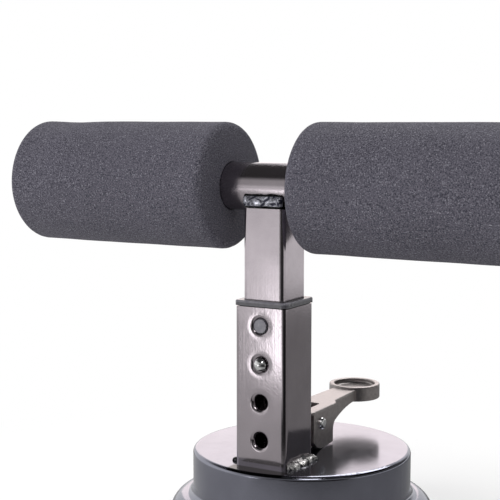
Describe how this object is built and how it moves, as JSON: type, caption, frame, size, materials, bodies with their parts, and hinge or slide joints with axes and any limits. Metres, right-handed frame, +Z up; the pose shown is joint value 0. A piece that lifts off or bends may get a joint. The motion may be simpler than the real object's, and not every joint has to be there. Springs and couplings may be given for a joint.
{
  "type": "suction sit-up bar",
  "caption": "Portable sit-up bar: a lever-locked suction base, a telescoping square post and a foot bar with foam rollers to hold the feet down.",
  "frame": {"origin": "on the floor, on the axis of the suction base", "axes": "+Z up, +X along the foot bar, -Y is the side of the post with the adjusting holes"},
  "size_m": [0.3, 0.1612, 0.2204],
  "materials": {
    "black_steel": "smooth semi-gloss black coating",
    "pad_rubber": "satin black moulded rubber",
    "zinc_steel": "zinc-plated steel",
    "spring_steel": "bright spring steel",
    "white_plastic": "natural acetal",
    "lever_casting": "dark grey coated casting",
    "bright_pin": "polished nickel plate",
    "collar_plastic": "satin black moulded plastic",
    "plug_plastic": "satin black moulded plastic",
    "foam": "closed-cell foam, matte with a fine speckle",
    "weld": "coated weld bead, glossy",
    "base_weld": "weld bead with thin grey coating"
  },
  "bodies": {
    "base": {"housing_cap": "black_steel", "suction_pad": "pad_rubber", "stud_bush": "white_plastic", "return_spring": "spring_steel", "outer_post": "black_steel", "post_collar": "collar_plastic", "post_weld_left": "base_weld", "post_weld_right": "base_weld"},
    "stud": {"pull_stud": "zinc_steel", "pad_plate": "zinc_steel"},
    "lever": {"lever": "lever_casting", "lever_pin": "bright_pin"},
    "upright": {"inner_post": "black_steel", "crossbar": "black_steel", "bar_plug_left": "plug_plastic", "bar_plug_right": "plug_plastic", "bar_weld_front": "weld", "bar_weld_back": "weld", "button_spring": "spring_steel"},
    "button": {"snap_button": "bright_pin"},
    "roller_left": {"foam_left": "foam"},
    "roller_right": {"foam_right": "foam"}
  },
  "joints": [
    {"name": "height_slide", "type": "slide", "parent": "base", "child": "upright", "axis": [0, 0, 1], "range_m": [-0.04, 0], "deforming": ["button_spring", "snap_button"]},
    {"name": "button_press", "type": "slide", "parent": "upright", "child": "button", "axis": [0, 1, 0], "range_m": [0, 0.0042], "stiffness_N_per_m": 800, "deforming": ["button_spring"]},
    {"name": "stud_lift", "type": "slide", "parent": "base", "child": "stud", "axis": [0, 0, 1], "range_m": [-0.0035, 0], "deforming": ["suction_pad", "return_spring"]},
    {"name": "lever_flip", "type": "hinge", "parent": "stud", "child": "lever", "pos_m": [0, 0, 0.0575], "axis": [1, 0, 0], "range_deg": [0, 90]},
    {"name": "roller_left_spin", "type": "hinge", "parent": "upright", "child": "roller_left", "pos_m": [0, -0.031, 0.1869], "axis": [1, 0, 0], "continuous": true},
    {"name": "roller_right_spin", "type": "hinge", "parent": "upright", "child": "roller_right", "pos_m": [0, -0.031, 0.1869], "axis": [1, 0, 0], "continuous": true}
  ],
  "couplings": [
    {"joint": "lever_flip", "follows": "stud_lift", "rad_per_m": -448.8}
  ]
}
